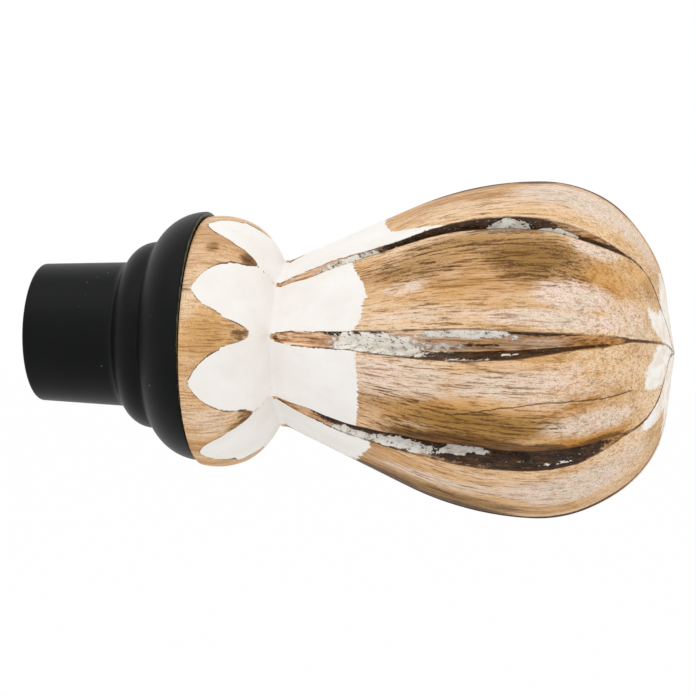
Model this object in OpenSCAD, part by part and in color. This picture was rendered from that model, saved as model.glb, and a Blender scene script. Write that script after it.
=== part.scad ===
// Curtain pole finial: a turned and carved wooden bulb held in a black metal collar.
// The pole runs along X. The origin is the middle of the socket's open mouth, +X points to the
// bulb's tip and +Z is up. The carved channel in front faces -Y. All sizes are in millimetres.

/* [Pole socket] */
// Diameter of the pole that the socket takes
pole_d = 25.4; // [19:0.1:28]
// Gap on each side between the pole and the socket
pole_gap = 0.3; // [0.1:0.05:0.5]
// Wall of the socket at its open mouth
socket_wall = 1.9; // [1.2:0.1:3]
// How far the pole goes in
socket_depth = 22; // [20:0.5:23]
// How much the outside of the tube flares from the mouth to the bead
tube_flare = 0.65; // [0:0.05:1]
// Bevel on the edges of the mouth
mouth_bevel = 0.3; // [0.2:0.05:0.6]

/* [Collar] */
// Where the bead is widest, measured from the mouth
bead_top_at = 25.5; // [24:0.5:26.5]
// Diameter of the bead
bead_d = 40.2; // [38:0.1:42]
// Radius of the bead's curve
bead_round = 6; // [5:0.1:7]
// Radius of the hollow where the tube runs into the bead
tube_fillet = 2.2; // [1:0.1:3]
// Diameter of the cup over its rim
cup_d = 53.4; // [51:0.1:55]
// Radius of the cup's curve
cup_round = 11; // [10:0.1:12]
// Distance from the mouth to the rim of the cup
rim_at = 36.4; // [35:0.1:38]
// Bevel on the rim's outer edge
rim_bevel = 0.3; // [0.1:0.05:0.6]
// Wall of the cup
cup_wall = 1.6; // [1.2:0.1:2]
// Thickness of the web between the socket and the cup
web_t = 2.5; // [2:0.1:3]

/* [Wood] */
// Distance from the mouth to the tip of the bulb
length = 135; // [120:0.5:150]
// How far the wood sits below the pole's axis, as fitted by hand
wood_drop = 1; // [0:0.1:1.2]
// Gap between the wood and the cup's wall
cup_gap = 0.2; // [0.1:0.05:0.4]
// Gap between the cup's rim and the shoulder of the wood over it
rim_gap = 0.3; // [0.2:0.05:0.6]
// Diameter of the base bulge above the collar
base_d = 53.7; // [52:0.1:56]
// Where the base bulge is widest, measured from the mouth
base_at = 39.5; // [38.5:0.1:41]
// Radius of the base bulge's curve
base_round = 14.3; // [13.5:0.1:15]
// Diameter at the waist
waist_d = 35.7; // [33:0.1:38]
// Where the waist is, measured from the mouth
waist_at = 54.5; // [53.5:0.1:56]
// Radius of the hollow at the waist
waist_round = 2; // [1:0.1:4]
// Largest diameter of the bulb
bulb_d = 70; // [64:0.5:76]
// Distance from the widest place to the tip
end_l = 28; // [27:0.1:30]
// Radius of the long curve from the waist up to the widest place
flank_round = 64; // [56:1:80]
// Radius of the full curve past the widest place
end_round = 26.8; // [24:0.2:28]
// How far that curve turns before the nose begins, in degrees
nose_turn = 66; // [60:1:70]
// Radius of the nose
nose_round = 20; // [14:0.5:22]

/* [Carving] */
// Number of petals, with one channel between each pair
petals = 8; // [6:1:10]
// Depth of a channel where the bulb is widest
channel_deep = 2.7; // [1.8:0.1:3.4]
// Half angle between the two walls of a channel, in degrees
gouge_angle = 40; // [28:1:45]
// Depth of a channel at the waist
waist_deep = 1.1; // [0.6:0.1:1.6]
// Slope of the floor where the long run ends, in degrees
run_slope = 8; // [5:0.5:11]
// Radius at which the gouge lifts out towards the tip
lift_round = 24.5; // [22:0.5:27]
// How uneven the hand carving is, from 0 for even to 1 for the real piece
unevenness = 1; // [0:0.1:1]
// Where the tongues begin on the base bulge, measured from the mouth
tongue_at = 38.6; // [37.6:0.1:39.6]
// Slope at which a tongue starts into the bulge, in degrees
tongue_slope = 6.4; // [5:0.1:9]
// Radius of a tongue's curve down to the waist
tongue_round = 18.25; // [17.25:0.25:19.5]
// How flat the petals are at the waist, from 0 for round to 1 for flat from edge to edge
waist_flat = 1; // [0.6:0.05:1]
// Distance past the waist over which the flats run out on the bulb
flat_run = 12; // [8:0.5:16]

/* [Screws] */
// Diameter of the wood screw
screw_d = 4.2; // [3.5:0.1:5]
// Length of the wood screw under its head
screw_l = 25; // [16:1:35]
// Diameter of the wood screw's head
head_d = 8; // [7:0.1:10]
// How far the wood screw's head sits below the socket's floor
head_drop = 0.1; // [0.05:0.05:0.3]
// Length of the wood screw's point
point_l = 4; // [3:0.5:6]
// Gap around the wood screw in the web
web_gap = 0.3; // [0.2:0.05:0.6]
// Gap around the wood screw in the wood
pilot_gap = 0.05; // [0.02:0.01:0.1]
// Width of the cross recess in the head
recess_w = 1; // [0.8:0.1:1.2]
// Length of each arm pair of the cross recess
recess_l = 4.2; // [3.6:0.1:5]
// Depth of the cross recess
recess_deep = 1.5; // [1:0.1:1.8]
// Diameter of the grub screw that grips the pole
grub_d = 4; // [3:0.5:5]
// Length of the grub screw
grub_l = 3; // [2.5:0.5:4]
// Distance from the mouth to the grub screw
grub_at = 9; // [7:0.5:12]
// Gap around the grub screw in the tube
grub_gap = 0.05; // [0.02:0.01:0.1]
// How far the tip of the grub screw stays short of the bore
grub_short = 0.15; // [0.1:0.05:0.4]
// Key size of the grub screw's hexagon socket, across its flats
key_af = 2; // [1.5:0.5:2.5]
// Depth of the hexagon socket
key_deep = 1.6; // [1.2:0.1:2]

/* [Hidden] */
$fn = 96;

// Outlines are drawn as [distance from the axis, distance from the mouth]
far = 60;              // reach of a cutter well past the part
bite = 0.002;          // how far curves and straights that blend reach into each other

// Collar
bore_r = pole_d / 2 + pole_gap;
mouth_r = bore_r + socket_wall;
tube_end_r = mouth_r + tube_flare;
bead_r = bead_d / 2;
bead_c = [bead_r - bead_round, bead_top_at];
cup_r = cup_d / 2;
cup_c = [cup_r - cup_round, rim_at];
cup_in = cup_round - cup_wall;
cup_floor = socket_depth + web_t;
cup_mouth_r = cup_c[0] + cup_in;

// The hollow between tube and bead touches the tube's side and the bead's curve
hollow_r = tube_end_r + tube_fillet;
hollow_reach = bead_round + tube_fillet - bite;
hollow_c = [hollow_r, bead_top_at - sqrt(pow(hollow_reach, 2) - pow(hollow_r - bead_c[0], 2))];
hollow_end = hollow_c + (bead_c - hollow_c) * (tube_fillet - bite / 2) / hollow_reach;

// Turned shape of the wood
shoulder_at = rim_at + rim_gap;
bulb_at = length - end_l;
base_c = [base_d / 2 - base_round, base_at];
waist_c = [waist_d / 2 + waist_round, waist_at];
flank_side = [bulb_d / 2 - waist_c[0], bulb_at - waist_at];
straight_share = 0.98; // share of the largest flank radius that still leaves a straight
flank_most = (pow(norm(flank_side), 2) - pow(waist_round, 2)) / (2 * (flank_side[0] + waist_round));
flank_r = min(flank_round, straight_share * flank_most);
flank_c = [bulb_d / 2 - flank_r, bulb_at];
end_c = [bulb_d / 2 - end_round, bulb_at];
nose_dir = [cos(nose_turn), sin(nose_turn)];
nose_c = end_c + (end_round - nose_round + bite) * nose_dir;
tip = [0, length];

// The flank is the straight line that touches the waist's hollow and the flank's curve
flank_gap = flank_c - waist_c;
flank_lean = atan2(flank_gap[0], flank_gap[1])
    + asin((waist_round + flank_r) / norm(flank_gap));
flank_n = [cos(flank_lean), -sin(flank_lean)];
flank_lo = waist_c - (waist_round - bite) * flank_n;
flank_hi = flank_c + (flank_r - bite) * flank_n;

// The nose is the straight line from the tip that touches the nose's curve
nose_gap = nose_c - tip;
nose_lean = acos(nose_round / norm(nose_gap)) - atan2(nose_gap[0], -nose_gap[1]);
nose_n = [sin(nose_lean), cos(nose_lean)];
nose_p = nose_c + (nose_round - bite) * nose_n;

// Channels by number, from the front one upwards: drift of the direction in degrees, and of
// the width as a share
TURN_DRIFT = [1, 0.5, -6.5, -4, 1, 4, 8, 6.5];
WIDTH_DRIFT = [0, -0.38, -0.12, 0.04, -0.2, 0.1, -0.08, 0];
function channel_turn(i) =
    i * 360 / petals + unevenness * TURN_DRIFT[i % len(TURN_DRIFT)];
function channel_tan(i) =
    tan(gouge_angle) * (1 + unevenness * WIDTH_DRIFT[i % len(WIDTH_DRIFT)]);
function petal_turn(i) =
    (channel_turn(i) + (i + 1 < petals ? channel_turn(i + 1) : channel_turn(0) + 360)) / 2;

// Floor of a channel: the long run comes up from the waist, and meets the lift with one tangent
// where the bulb is widest
floor_n = [cos(run_slope), -sin(run_slope)];
floor_p = [bulb_d / 2 - channel_deep, bulb_at];
run_chord = [waist_d / 2 - waist_deep, waist_at] - floor_p;
run_round = -run_chord * run_chord / (2 * run_chord * floor_n);
run_c = floor_p - run_round * floor_n;
lift_c = floor_p - (lift_round - bite) * floor_n;
run_back = asin((run_c[1] - waist_at) / run_round) - run_slope;
run_on = 1;            // turn of the long run's cutter past the widest place, in degrees
lift_on = 75;          // turn of the lift's cutter towards the tip, in degrees
v_open = 9;            // how far a V cutter opens above its floor

// Tongues: a curve down the base bulge to the flat waist, and a run out on the bulb
waist_flat_r = waist_d / 2 * (1 - waist_flat * (1 - cos(180 / petals)));
waist_p = [waist_flat_r, waist_at];
tongue_start_r = base_c[0] + sqrt(pow(base_round, 2) - pow(tongue_at - base_at, 2));
tongue_c = [tongue_start_r - tongue_round * cos(tongue_slope),
    tongue_at - tongue_round * sin(tongue_slope)];
run_out_at = waist_at + flat_run;
run_out_p = [flank_lo[0] + (run_out_at - flank_lo[1]) * tan(flank_lean), run_out_at];
flat_on = 1.5;         // share by which a flat's cutter runs on past the bulb's surface
flat_end = waist_p + flat_on * (run_out_p - waist_p);

wood_tan = "#c99a68";
collar_black = "#17191b";
screw_steel = "#b9bcc0";
grub_steel = "#4a4d52";

// Turns an outline round the pole's axis
module turned() { rotate([0, 90, 0]) rotate_extrude() children(); }

// Lays a flat shape drawn as an outline into the plane that holds the axis and the front
module to_front() { rotate([0, 0, -90]) children(); }

// Turns what faces the front upwards round the pole's axis
module turned_up(a) { rotate([-a, 0, 0]) children(); }

// A disc of an outline between two distances from the mouth
module disc_between(c, r, from, to) {
    intersection() {
        translate(c) circle(r);
        translate([0, from]) square([far, to - from]);
    }
}

// A band of an outline from the axis out to a radius, between two distances from the mouth
module band(r, from, to) { translate([0, from]) square([r, to - from]); }

// The part of a disc that lies between two directions from a point
module disc_wedge(c, r, from, dir_a, dir_b) {
    intersection() {
        translate(c) circle(r);
        polygon([from, from + far * dir_a, from + far * dir_b]);
    }
}

// Outside of the collar, as if it were solid
module collar_outline() {
    polygon([[0, 0], [mouth_r - mouth_bevel, 0], [mouth_r, mouth_bevel],
        [tube_end_r, hollow_c[1]], [0, hollow_c[1]]]);
    difference() {
        polygon([[0, hollow_c[1]], hollow_c, hollow_end, [0, hollow_end[1]]]);
        translate(hollow_c) circle(tube_fillet);
    }
    disc_between(bead_c, bead_round, hollow_end[1], bead_top_at);
    band(bead_c[0], hollow_end[1], bead_top_at);
    band(bead_r, bead_top_at, rim_at);
    difference() {
        disc_between(cup_c, cup_round, bead_top_at, rim_at);
        polygon([[cup_r - rim_bevel, rim_at], [cup_r, rim_at - rim_bevel], [far, rim_at - far],
            [far, rim_at]]);
    }
}

// Hollow of the cup, or the spigot that fits it when a gap is given
module cup_hollow(gap) {
    band(cup_c[0] - gap, cup_floor, rim_at);
    disc_between(cup_c, cup_in - gap, cup_floor, rim_at);
}

// Wood as it leaves the lathe, from its shoulder to its tip
module wood_outline() {
    disc_between(base_c, base_round, shoulder_at, waist_at);
    band(waist_d / 2, shoulder_at, waist_at);
    difference() {
        polygon([[0, waist_at], waist_c, flank_lo, flank_hi, [0, flank_hi[1]]]);
        translate(waist_c) circle(waist_round);
    }
    disc_between(flank_c, flank_r, (waist_at + flank_hi[1]) / 2, bulb_at);
    disc_wedge(end_c, end_round, end_c, [1, 0], nose_dir);
    disc_wedge(nose_c, nose_round, end_c, [1, 1], [0, 1]);
    polygon([[0, bulb_at], [nose_c[0], bulb_at], nose_c, nose_p, tip]);
}

// V shaped cutter that follows an arc of the channel's floor
module v_sweep(c, r, from, angle, v_tan) {
    to_front() translate(c) rotate([0, 0, from])
        rotate_extrude(angle = angle)
            polygon([[r, 0], [r + v_open, v_open * v_tan], [r + v_open, -v_open * v_tan]]);
}

// One carved channel, from the waist to where it runs out short of the tip
module channel(v_tan) {
    v_sweep(run_c, run_round, -run_slope - run_back, run_back + run_on, v_tan);
    v_sweep(lift_c, lift_round, -run_slope, lift_on, v_tan);
}

// Cutter for one tongue on the base bulge and the flat of its petal past the waist
module tongue() {
    to_front() linear_extrude(far, center = true) difference() {
        polygon([[waist_flat_r, tongue_c[1]], [far, tongue_c[1]], [far, flat_end[1]], flat_end,
            waist_p]);
        translate(tongue_c) circle(tongue_round);
    }
}

// Hole for the wood screw in the wood, or the screw's own shank when no gap is given
module screw_body(gap) {
    body_l = screw_l - point_l;
    turned() {
        band(screw_d / 2 + gap, socket_depth, socket_depth + body_l);
        polygon([[0, socket_depth + body_l], [screw_d / 2 + gap, socket_depth + body_l],
            [0, socket_depth + screw_l + gap]]);
    }
}

// Countersunk head of the wood screw, or its seat in the web when no drop is given
module screw_head(drop) {
    head_end = socket_depth + (head_d - screw_d) / 2;
    turned() polygon([[0, socket_depth + drop], [head_d / 2 - drop, socket_depth + drop],
        [screw_d / 2, head_end], [0, head_end]]);
}

module carved_bulb() {
    color(wood_tan) difference() {
        union() {
            translate([0, 0, -wood_drop]) difference() {
                turned() wood_outline();
                for (i = [0:petals - 1]) {
                    turned_up(petal_turn(i)) tongue();
                    turned_up(channel_turn(i)) channel(channel_tan(i));
                }
            }
            turned() {
                cup_hollow(cup_gap);
                band(cup_mouth_r - cup_gap, rim_at, shoulder_at);
            }
        }
        screw_body(pilot_gap);
    }
}

module collar() {
    color(collar_black) difference() {
        turned() difference() {
            collar_outline();
            band(bore_r, 0, socket_depth);
            cup_hollow(0);
            band(screw_d / 2 + web_gap, socket_depth, cup_floor);
        }
        screw_head(0);
        translate([grub_at, 0, 0]) rotate([-90, 0, 0])
            cylinder(h = far, r = grub_d / 2 + grub_gap);
    }
}

module fixing_screw() {
    color(screw_steel) difference() {
        union() {
            screw_body(0);
            screw_head(head_drop);
        }
        for (a = [0, 90])
            rotate([a, 0, 0]) translate([socket_depth, 0, 0])
                cube([2 * recess_deep, recess_w, recess_l], center = true);
    }
}

module grub_screw() {
    color(grub_steel) translate([grub_at, bore_r + grub_short, 0]) rotate([-90, 0, 0])
        difference() {
            cylinder(h = grub_l, d = grub_d);
            translate([0, 0, grub_l - key_deep])
                cylinder(h = key_deep + 1, d = key_af / cos(30), $fn = 6);
        }
}

carved_bulb();
collar();
fixing_screw();
grub_screw();
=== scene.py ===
"""Curtain pole finial: a turned and carved wooden bulb held in a black metal collar.

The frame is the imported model's: the pole runs along X, +X points to the bulb's tip, +Z is up and
the front channel faces -Y. Objects are in metres, and the sizes written below in millimetres.
Angles round the pole's axis are in degrees, from the front upwards.
"""
import math

import bmesh
import bpy
import numpy as np
from mathutils import Matrix, Vector, noise


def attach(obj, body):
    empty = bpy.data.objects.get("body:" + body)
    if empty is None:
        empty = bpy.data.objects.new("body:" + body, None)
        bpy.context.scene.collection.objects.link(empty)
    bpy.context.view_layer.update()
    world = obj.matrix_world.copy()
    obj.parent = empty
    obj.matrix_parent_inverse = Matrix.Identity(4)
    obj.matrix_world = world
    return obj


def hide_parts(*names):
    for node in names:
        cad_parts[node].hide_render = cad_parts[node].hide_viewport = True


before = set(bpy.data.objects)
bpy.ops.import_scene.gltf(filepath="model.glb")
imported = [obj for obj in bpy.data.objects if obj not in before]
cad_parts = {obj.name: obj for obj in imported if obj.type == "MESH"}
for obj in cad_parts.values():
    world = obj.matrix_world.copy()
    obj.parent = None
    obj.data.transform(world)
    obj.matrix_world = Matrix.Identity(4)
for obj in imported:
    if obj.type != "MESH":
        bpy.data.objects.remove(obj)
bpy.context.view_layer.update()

MM = 0.001


# Outlines, as rows of [distance from the axis, distance from the mouth]

def arc(centre, radius, start, end, steps):
    """Points of an arc from one direction to another, where 90 degrees points to the tip."""
    turns = np.radians(np.linspace(start, end, steps + 1))
    return np.stack([centre[0] + radius * np.cos(turns), centre[1] + radius * np.sin(turns)], 1)


def straight(start, end, steps):
    """Evenly spaced points of a straight line."""
    return np.linspace(start, end, steps + 1)


def joined(*runs):
    """One outline from runs that follow each other, with shared ends kept once."""
    points = [tuple(runs[0][0])]
    for run in runs:
        for point in run:
            if math.dist(point, points[-1]) > 0.06:
                points.append(tuple(point))
    return points


def softened(points, amount, steps=3):
    """The same closed outline with each corner rounded off by an amount."""
    sharp = 0.35         # sine of the least turn that counts as a corner
    out = []
    for before, corner, after in zip(points[-1:] + points[:-1], points, points[1:] + points[:1]):
        b, c, a = (np.array(p, float) for p in (before, corner, after))
        back, on = b - c, a - c
        turn = abs(np.cross(back, on)) / (np.linalg.norm(back) * np.linalg.norm(on))
        if turn < sharp:
            out.append(tuple(c))
            continue
        first = c + back * min(amount / np.linalg.norm(back), 0.45)
        last = c + on * min(amount / np.linalg.norm(on), 0.45)
        for t in np.linspace(0, 1, steps + 1):
            out.append(tuple((1 - t) ** 2 * first + 2 * t * (1 - t) * c + t * t * last))
    return out


def spun(points, columns, closed):
    """A bmesh of an outline turned once round the X axis; each vertex keeps its outline row."""
    bm = bmesh.new()
    row = bm.verts.layers.int.new("row")
    verts = []
    for i, (r, x) in enumerate(points):
        vert = bm.verts.new((x * MM, -r * MM, 0))
        vert[row] = i
        verts.append(vert)
    pairs = list(zip(verts, verts[1:] + verts[:1])) if closed else list(zip(verts, verts[1:]))
    edges = [bm.edges.new(pair) for pair in pairs]
    bmesh.ops.spin(bm, geom=verts + edges, cent=(0, 0, 0), axis=(-1, 0, 0),
                   angle=2 * math.pi, steps=columns, use_merge=True)
    bmesh.ops.remove_doubles(bm, verts=bm.verts, dist=1e-7)
    bmesh.ops.recalc_face_normals(bm, faces=bm.faces)
    return bm


def finished_piece(bm, name, material, slot, *nodes):
    """An object from a bmesh, smooth, with its finish, riding on the one body."""
    for face in bm.faces:
        face.smooth = True
    mesh = bpy.data.meshes.new(name)
    bm.to_mesh(mesh)
    bm.free()
    mesh.materials.append(material)
    piece = bpy.data.objects.new(name, mesh)
    bpy.context.scene.collection.objects.link(piece)
    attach(piece, "root")
    if nodes:
        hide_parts(*nodes)
    return piece


def eased(value, low, high):
    """0 below low, 1 above high, and a soft step between."""
    t = np.clip((value - low) / (high - low), 0, 1)
    return t * t * (3 - 2 * t)


def along(stations, x):
    """A value that follows the given stations of [distance from the mouth, value], with its corners
    rounded.
    """
    step, half_window = 0.1, 16
    places, values = np.array(stations, float).T
    fine = np.arange(places[0] - 4, places[-1] + 4, step)
    window = np.hanning(2 * half_window + 1)
    flat = np.pad(np.interp(fine, places, values), half_window, mode="edge")
    return np.interp(x, fine, np.convolve(flat, window / window.sum(), mode="valid"))


def wobble(x, seed, size, reach):
    """A slow unevenness along a cut, as a hand leaves it."""
    return np.array([reach * noise.noise(Vector((value / size, seed * 7.3, 0.5))) for value in x])


# The wood

WOOD_DROP = 1            # the wood sits this far below the pole's axis
PETALS = 8
PETAL_COLUMNS = 28
CHANNEL_COLUMNS = 12
SECTOR = PETAL_COLUMNS + CHANNEL_COLUMNS
TONGUES_AT = 38.6        # where the tongues begin
SEAM_AT = 49.9           # where neighbouring tongues meet
SEAM_END = 53.6          # where the channels begin to part them again
WAIST_AT = 54.5
WIDEST_AT = 107
CUTS_END = 128           # from here only a crease runs on to the tip
LENGTH = 135
GOUGE_TAN = math.tan(math.radians(40))
WAIST_FLAT = 16.49       # distance of the flats from the axis at the waist
FLAT_RISE, FLAT_REACH = 23.01 - WAIST_FLAT, 12    # how the flats run out past the waist
CREASE_HALF, CREASE_DEEP = 0.12, 0.26
# Arcs of the cuts: centre from the axis, centre from the mouth, radius
LONG_RUN = (-151.14, 132.78, 185.24)
SHORT_LIFT = (8.04, 110.41, 24.5)
TONGUE_ARC = (8.69, 36.57, 18.25)
# The bare corners between the tongues, in degrees: how much wider than the flats leave them,
# the widest and the least half of their closing end, and over how many mm it closes
CORNER_MORE, END_HALF, SEAM_HALF, END_REACH = 1.9, 5.9, 1.5, 3.5
END_STARTS = 45          # where the closing end begins
FAR = 9                  # a distance in mm at which no edge or split shows

SPIGOT = joined(
    straight((0, 47.05), (2.15, 43.05), 2), straight((2.15, 43.05), (2.15, 24.5), 4),
    straight((2.15, 24.5), (15.5, 24.5), 4), straight((15.5, 24.5), (15.5, 27.2), 1),
    arc((15.7, 36.4), 9.2, -90, 0, 10), straight((24.9, 36.4), (24.9, 36.7), 1))
BULB = joined(
    arc((12.55, 39.5), 14.3, -11.3, 68.25, 48), straight((17.85, 52.78), (17.85, 54.5), 5),
    arc((19.85, 54.5), 2, 180, 155.96, 4), straight((18.02, 55.31), (29.45, 80.93), 52),
    arc((-29, 107), 64, -24.04, 0, 48), arc((8.2, 107), 26.8, 0, 66, 62),
    arc((10.97, 113.21), 20, 66, 81.8, 14), straight((13.82, 133.01), (0, 135), 30))
# Direction of each channel, and its width as a share of the plain gouge's
CHANNELS = [
    (1, 1), (45.5, 0.62), (82.5, 0.88), (131, 1.04), (181, 0.8), (229, 1.1), (279.5, 0.92),
    (321.5, 1)]
# Channels in view: distance from the mouth, upper edge, floor, lower edge
FRONT_CUT = [
    (54, 6.9, 4.1, 1.1), (57.9, 7.4, 2.8, -1.8), (62.3, 6.8, 2.1, -2.4), (66.6, 6.4, 1.4, -2.5),
    (70.5, 6.1, 0.5, -2.5), (75.6, 5.8, -0.8, -3.5), (81.4, 5.7, -1.6, -4), (87.4, 5.8, -1.5, -4.5),
    (93.3, 5.9, -1.5, -4.6), (99, 5.7, -0.9, -3.9), (103.7, 5.5, -0.4, -3.1),
    (108.3, 5.3, 0.4, -2), (112, 5.2, 1, -1), (116.2, 5.1, 2, 0.4), (120.4, 5.3, 3, 1.3),
    (123.2, 5.2, 3.8, 2.8), (125.4, 4.9, 4.4, 4.1), (129, 5.1, 4.9, 4.7), (133, 6.2, 6, 5.8)]
TOP_CUT = [
    (54, 45, 43, 41.2), (56.4, 46.6, 43.8, 41.2), (60.8, 47.7, 44, 40.4), (65.1, 48.8, 44.9, 41.8),
    (73, 47.2, 44.8, 42.7), (80, 46.8, 44.6, 42.8), (86.7, 47.8, 45, 43.2), (92, 48, 45, 43.1),
    (98.1, 48, 44.6, 42.4), (102.6, 47.7, 44.2, 41.8), (107, 46.5, 43.4, 41.1),
    (111.2, 45.5, 42.6, 40.2), (115.7, 44, 41.3, 39), (120, 42.4, 40.4, 38.8),
    (123.3, 41.2, 40.3, 39.6), (126, 41.4, 41, 40.6), (128.4, 40.3, 40, 39.7),
    (130, 36.9, 36.6, 36.3), (131, 31, 30.7, 30.4), (132, 24, 23.7, 23.4), (133.5, 19, 18.7, 18.4)]
BOTTOM_CUT = [
    (54, -38.8, -40.2, -42), (57.3, -39.6, -42.2, -45.2), (61.8, -39, -42.6, -46.2),
    (65, -40.2, -44, -47.7), (70, -40.2, -43.7, -47.8), (76.8, -38.1, -41.6, -45.9),
    (81.1, -36.2, -40, -44.2), (86, -35.4, -38.8, -43.4), (92, -34.4, -38, -43),
    (97.3, -33.8, -37.6, -42.8), (102.1, -34.2, -37.8, -42.5), (107, -33.9, -37.6, -42),
    (112.5, -33.3, -36.8, -41), (116.8, -33, -36, -40), (121, -32.4, -34.5, -37.2),
    (124, -33, -33.8, -34.6), (126.8, -33.1, -33.4, -33.7), (129.1, -30.9, -31.2, -31.5),
    (130.6, -27.3, -27.6, -27.9), (131.8, -21, -21.3, -21.6), (132.5, -12, -12.3, -12.6),
    (133.6, -1.5, -1.8, -2.1)]
IN_VIEW = {0: FRONT_CUT, 1: TOP_CUT, 7: BOTTOM_CUT}
# The channels seen edge on bend to the front towards the tip: distance from the mouth, degrees
NOSE_BEND = [
    (107, 0), (115, 1), (119, 2.6), (123, 4.4), (127, 7), (130, 11), (132, 19), (133.5, 30)]
FRONTWARD = {2: -1, 6: 1}
# The bare corners between the tongues: how far their middles lie above the even ones
CORNER_SHIFT = {0: 1.8, 1: 1.6, 7: -1}

rows = np.array(BULB)
row_r, row_x = rows[:, 0], rows[:, 1]


def on_arc(cut, x):
    """Distance of a cut's arc from the axis, at distances from the mouth."""
    centre_r, centre_x, radius = cut
    return centre_r + np.sqrt(np.clip(radius ** 2 - (x - centre_x) ** 2, 0, None))


def channel_depth(x, r):
    """How far a channel's floor lies under the turned surface."""
    deep = r - np.where(x < WIDEST_AT, on_arc(LONG_RUN, x), on_arc(SHORT_LIFT, x))
    return np.where(x > CUTS_END, 0, np.clip(deep, 0, None)) * eased(x, 52.9, 54.6)


def tongue_face(x):
    """Distance of a petal's flat face from the axis: the tongue, then the flat past the waist."""
    run_out = WAIST_FLAT + (x - WAIST_AT) * FLAT_RISE / FLAT_REACH
    face = np.where(x < WAIST_AT, np.maximum(on_arc(TONGUE_ARC, x), WAIST_FLAT), run_out)
    return np.where(x < TONGUES_AT, row_r.max() + FAR, face)


def petal_turn(k):
    """Direction of the middle of a petal."""
    return (CHANNELS[k][0] + CHANNELS[(k + 1) % PETALS][0] + (360 if k == PETALS - 1 else 0)) / 2


def channel_lines(i):
    """Lower edge, floor and upper edge of a channel at each row, and its depth."""
    turn, share = CHANNELS[i]
    depth = channel_depth(row_x, row_r)
    if i in IN_VIEW:
        cut = np.array(IN_VIEW[i])
        turned_on = 360 if i == PETALS - 1 else 0
        upper, floor, lower = (along(cut[:, [0, k]], row_x) + turned_on for k in (1, 2, 3))
    else:
        half = np.degrees(np.arcsin(np.clip(
            depth * GOUGE_TAN * share / np.maximum(row_r, 1), 0, 0.4)))
        half = np.maximum(half, 0.3)
        floor = turn + wobble(row_x, i, 22, 0.9) + FRONTWARD.get(i, 0) * along(NOSE_BEND, row_x)
        upper = floor + half * 0.96 + wobble(row_x, i + 9, 9, 0.35)
        lower = floor - half * 1.04 + wobble(row_x, i + 19, 9, 0.35)
    # near the tip the edges close to a crease of even width
    least = np.degrees(np.minimum(CREASE_HALF / np.maximum(row_r, 0.01), 0.1))
    upper = np.maximum(upper, floor + least) + wobble(row_x, i + 29, 3.5, 0.12)
    lower = np.minimum(lower, floor - least) + wobble(row_x, i + 39, 3.5, 0.12)
    # on the base bulge the bare corner between two tongues opens out instead
    with np.errstate(invalid="ignore"):
        tongue_half = np.degrees(np.arccos(np.clip(tongue_face(row_x) / row_r, -1, 1)))
    tongue_half = np.maximum.accumulate(np.where(row_x < TONGUES_AT, 0, tongue_half))
    tongue_half = np.clip(tongue_half, 3.5, 19.6)
    on_base = row_x < WAIST_AT
    before = petal_turn((i - 1) % PETALS) - (360 if i == 0 else 0)
    after = petal_turn(i)
    corner = (after - before) / 2 - tongue_half + CORNER_MORE
    round_end = END_HALF * np.clip((SEAM_AT - row_x) / END_REACH, 0, None) ** 0.4
    closing = np.clip(np.minimum(corner, round_end), SEAM_HALF, None)
    corner = np.where(row_x > END_STARTS, closing, corner)
    middle = (before + after) / 2 + CORNER_SHIFT.get(i, 0) * eased(row_x, 38, 44)
    start = floor[np.argmin(np.abs(row_x - WAIST_AT))]
    middle = middle + (start - middle) * eased(row_x, SEAM_AT, WAIST_AT)
    upper = np.where(on_base, middle + corner, upper)
    lower = np.where(on_base, middle - corner, lower)
    floor = np.where(on_base, middle, floor)
    crease = CREASE_DEEP * eased(row_x, 120, 125) * eased(LENGTH - row_x, 0, 0.6)
    return lower, floor, upper, np.maximum(depth, crease)


lines = [channel_lines(i) for i in range(PETALS)]
# Where the columns lie across a channel and across a petal: closer to the cut edges
half_channel = (0.07, 0.26, 0.5, 0.74, 0.93, 1)
ACROSS_CHANNEL = np.array([-s for s in reversed(half_channel)] + [0, *half_channel])
petal_steps = np.linspace(0, 1, PETAL_COLUMNS + 1)
ACROSS_PETAL = petal_steps - 0.7 * np.sin(2 * math.pi * petal_steps) / (2 * math.pi)


def face_radius(turn, k_row):
    """Radius of a petal's surface in a direction: the lower of the turned shape and the flat."""
    nearest = min((abs((turn - petal_turn(k) + 180) % 360 - 180) for k in range(PETALS)))
    return min(row_r[k_row], flat_faces[k_row] / math.cos(math.radians(nearest)))


flat_faces = tongue_face(row_x) + wobble(row_x, 51, 2.5, 0.05)


def pointing(turn):
    """A step of one in a direction round the axis."""
    return np.array([math.cos(math.radians(turn)), math.sin(math.radians(turn))])


def section(k_row):
    """Direction and radius of each column of one row."""
    turns, radii = [], []
    for i in range(PETALS):
        lower, floor, upper, depth = (line[k_row] for line in lines[i])
        deep_r = max(min(face_radius(floor, k_row), row_r[k_row]) - depth, 0)
        points = {}
        for side, turn in ((-1, lower), (1, upper)):
            r = face_radius(turn, k_row)
            points[side] = r * pointing(turn)
        middle = deep_r * pointing(floor)
        if depth < 0.001:
            middle *= face_radius(floor, k_row) / max(deep_r, 1e-9)
        for s in ACROSS_CHANNEL[:-1]:
            if depth < 0.001:
                turn = floor + s * ((upper - floor) if s > 0 else (floor - lower))
                turns.append(turn)
                radii.append(face_radius(turn, k_row))
            else:
                spot = middle + abs(s) * (points[1 if s > 0 else -1] - middle)
                turns.append(math.degrees(math.atan2(spot[1], spot[0])))
                radii.append(math.hypot(*spot))
        after = lines[(i + 1) % PETALS][0][k_row] + (360 if i == PETALS - 1 else 0)
        for t in ACROSS_PETAL[:-1]:
            turn = upper + t * (after - upper)
            turns.append(turn)
            radii.append(face_radius(turn, k_row))
    return turns, radii
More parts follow.
